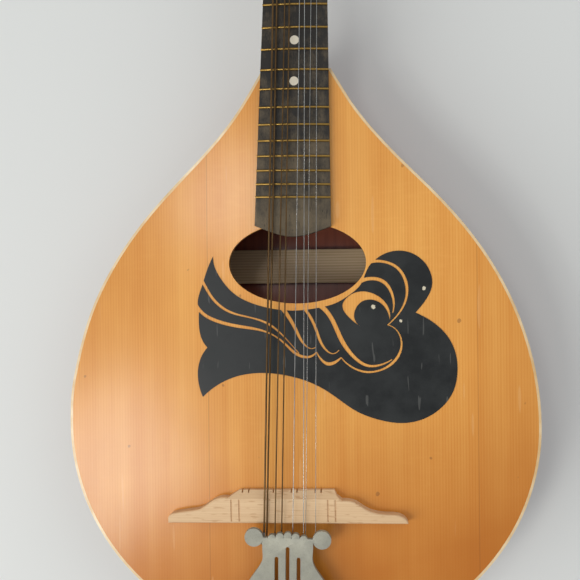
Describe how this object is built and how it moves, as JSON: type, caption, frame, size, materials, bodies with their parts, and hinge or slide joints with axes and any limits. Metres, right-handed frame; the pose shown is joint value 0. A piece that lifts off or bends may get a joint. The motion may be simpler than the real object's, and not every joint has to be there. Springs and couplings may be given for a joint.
{
  "type": "mandolin",
  "caption": "Flat-backed teardrop mandolin with an oval sound hole, a fretted neck, a lyre-shaped tailpiece and geared tuning machines.",
  "frame": {"origin": "on the outer face of the flat back, under the widest place of the body", "axes": "+Y towards the head, +X to the treble side, +Z out of the soundboard"},
  "size_m": [0.2496, 0.6082, 0.0752],
  "materials": {
    "spruce_top": "lacquered spruce",
    "binding": "polished",
    "body_wood": "lacquered maple",
    "inner_wood": "bare spruce",
    "guard_black": "satin",
    "neck_wood": "lacquered beech",
    "veneer": "blackened",
    "board_black": "worn black stain",
    "fret_metal": "worn",
    "dots": "polished",
    "nut_bone": "polished",
    "bridge_wood": "bare beech",
    "cast_metal": "as cast, rubbed",
    "screw_steel": "plated",
    "plate_steel": "nickel plated",
    "bushing_metal": "nickel plated",
    "wound_wire": "tarnished bronze",
    "plain_wire": "drawn",
    "shaft_steel": "nickel plated",
    "button_plastic": "polished",
    "post_steel": "nickel plated",
    "gear_brass": "cut"
  },
  "bodies": {
    "root": {"soundboard": "spruce_top", "edge_binding": "binding", "back_plate": "body_wood", "neck_block": "inner_wood", "tail_block": "inner_wood", "rib_left": "body_wood", "rib_right": "body_wood", "top_lining": "inner_wood", "back_lining": "inner_wood", "soundboard_braces": "inner_wood", "back_braces": "inner_wood", "pickguard": "guard_black", "neck": "neck_wood", "head_veneer": "veneer", "fretboard": "board_black", "frets": "fret_metal", "position_dots": "dots", "nut": "nut_bone", "wound_strings": "wound_wire", "plain_strings": "plain_wire", "bridge": "bridge_wood", "tailpiece": "cast_metal", "tailpiece_screws": "screw_steel", "machine_plates": "plate_steel", "machine_screws": "screw_steel", "post_bushings": "bushing_metal"},
    "shaft_bass_1": {"worm_shaft_bass_1": "shaft_steel", "button_bass_1": "button_plastic"},
    "post_bass_1": {"post_bass_1": "post_steel", "gear_bass_1": "gear_brass"},
    "shaft_bass_2": {"worm_shaft_bass_2": "shaft_steel", "button_bass_2": "button_plastic"},
    "post_bass_2": {"post_bass_2": "post_steel", "gear_bass_2": "gear_brass"},
    "shaft_bass_3": {"worm_shaft_bass_3": "shaft_steel", "button_bass_3": "button_plastic"},
    "post_bass_3": {"post_bass_3": "post_steel", "gear_bass_3": "gear_brass"},
    "shaft_bass_4": {"worm_shaft_bass_4": "shaft_steel", "button_bass_4": "button_plastic"},
    "post_bass_4": {"post_bass_4": "post_steel", "gear_bass_4": "gear_brass"},
    "shaft_treble_1": {"worm_shaft_treble_1": "shaft_steel", "button_treble_1": "button_plastic"},
    "post_treble_1": {"post_treble_1": "post_steel", "gear_treble_1": "gear_brass"},
    "shaft_treble_2": {"worm_shaft_treble_2": "shaft_steel", "button_treble_2": "button_plastic"},
    "post_treble_2": {"post_treble_2": "post_steel", "gear_treble_2": "gear_brass"},
    "shaft_treble_3": {"worm_shaft_treble_3": "shaft_steel", "button_treble_3": "button_plastic"},
    "post_treble_3": {"post_treble_3": "post_steel", "gear_treble_3": "gear_brass"},
    "shaft_treble_4": {"worm_shaft_treble_4": "shaft_steel", "button_treble_4": "button_plastic"},
    "post_treble_4": {"post_treble_4": "post_steel", "gear_treble_4": "gear_brass"}
  },
  "joints": [
    {"name": "turn_bass_1", "type": "hinge", "parent": "root", "child": "shaft_bass_1", "pos_m": [-0.01048, 0.38553, 0.03698], "axis": [-0.9998, 0.0206, 0], "continuous": true},
    {"name": "wind_bass_1", "type": "hinge", "parent": "root", "child": "post_bass_1", "pos_m": [-0.01059, 0.38029, 0.05679], "axis": [0.0036, 0.1736, 0.9848], "continuous": true},
    {"name": "turn_bass_2", "type": "hinge", "parent": "root", "child": "shaft_bass_2", "pos_m": [-0.01002, 0.40818, 0.03299], "axis": [-0.9998, 0.0206, 0], "continuous": true},
    {"name": "wind_bass_2", "type": "hinge", "parent": "root", "child": "post_bass_2", "pos_m": [-0.01013, 0.40294, 0.0528], "axis": [0.0036, 0.1736, 0.9848], "continuous": true},
    {"name": "turn_bass_3", "type": "hinge", "parent": "root", "child": "shaft_bass_3", "pos_m": [-0.00955, 0.43082, 0.02899], "axis": [-0.9998, 0.0206, 0], "continuous": true},
    {"name": "wind_bass_3", "type": "hinge", "parent": "root", "child": "post_bass_3", "pos_m": [-0.00966, 0.42558, 0.0488], "axis": [0.0036, 0.1736, 0.9848], "continuous": true},
    {"name": "turn_bass_4", "type": "hinge", "parent": "root", "child": "shaft_bass_4", "pos_m": [-0.00908, 0.45347, 0.025], "axis": [-0.9998, 0.0206, 0], "continuous": true},
    {"name": "wind_bass_4", "type": "hinge", "parent": "root", "child": "post_bass_4", "pos_m": [-0.00919, 0.44823, 0.04481], "axis": [0.0036, 0.1736, 0.9848], "continuous": true},
    {"name": "turn_treble_1", "type": "hinge", "parent": "root", "child": "shaft_treble_1", "pos_m": [0.01751, 0.38495, 0.03698], "axis": [0.9998, -0.0206, 0], "continuous": true},
    {"name": "wind_treble_1", "type": "hinge", "parent": "root", "child": "post_treble_1", "pos_m": [0.0174, 0.37972, 0.05679], "axis": [0.0036, 0.1736, 0.9848], "continuous": true},
    {"name": "turn_treble_2", "type": "hinge", "parent": "root", "child": "shaft_treble_2", "pos_m": [0.01798, 0.4076, 0.03299], "axis": [0.9998, -0.0206, 0], "continuous": true},
    {"name": "wind_treble_2", "type": "hinge", "parent": "root", "child": "post_treble_2", "pos_m": [0.01787, 0.40236, 0.0528], "axis": [0.0036, 0.1736, 0.9848], "continuous": true},
    {"name": "turn_treble_3", "type": "hinge", "parent": "root", "child": "shaft_treble_3", "pos_m": [0.01844, 0.43024, 0.02899], "axis": [0.9998, -0.0206, 0], "continuous": true},
    {"name": "wind_treble_3", "type": "hinge", "parent": "root", "child": "post_treble_3", "pos_m": [0.01834, 0.42501, 0.0488], "axis": [0.0036, 0.1736, 0.9848], "continuous": true},
    {"name": "turn_treble_4", "type": "hinge", "parent": "root", "child": "shaft_treble_4", "pos_m": [0.01891, 0.45289, 0.025], "axis": [0.9998, -0.0206, 0], "continuous": true},
    {"name": "wind_treble_4", "type": "hinge", "parent": "root", "child": "post_treble_4", "pos_m": [0.0188, 0.44765, 0.04481], "axis": [0.0036, 0.1736, 0.9848], "continuous": true}
  ],
  "couplings": [
    {"joint": "wind_bass_1", "follows": "turn_bass_1", "ratio": 0.0625},
    {"joint": "wind_bass_2", "follows": "turn_bass_2", "ratio": 0.0625},
    {"joint": "wind_bass_3", "follows": "turn_bass_3", "ratio": 0.0625},
    {"joint": "wind_bass_4", "follows": "turn_bass_4", "ratio": 0.0625},
    {"joint": "wind_treble_1", "follows": "turn_treble_1", "ratio": 0.0625},
    {"joint": "wind_treble_2", "follows": "turn_treble_2", "ratio": 0.0625},
    {"joint": "wind_treble_3", "follows": "turn_treble_3", "ratio": 0.0625},
    {"joint": "wind_treble_4", "follows": "turn_treble_4", "ratio": 0.0625}
  ]
}
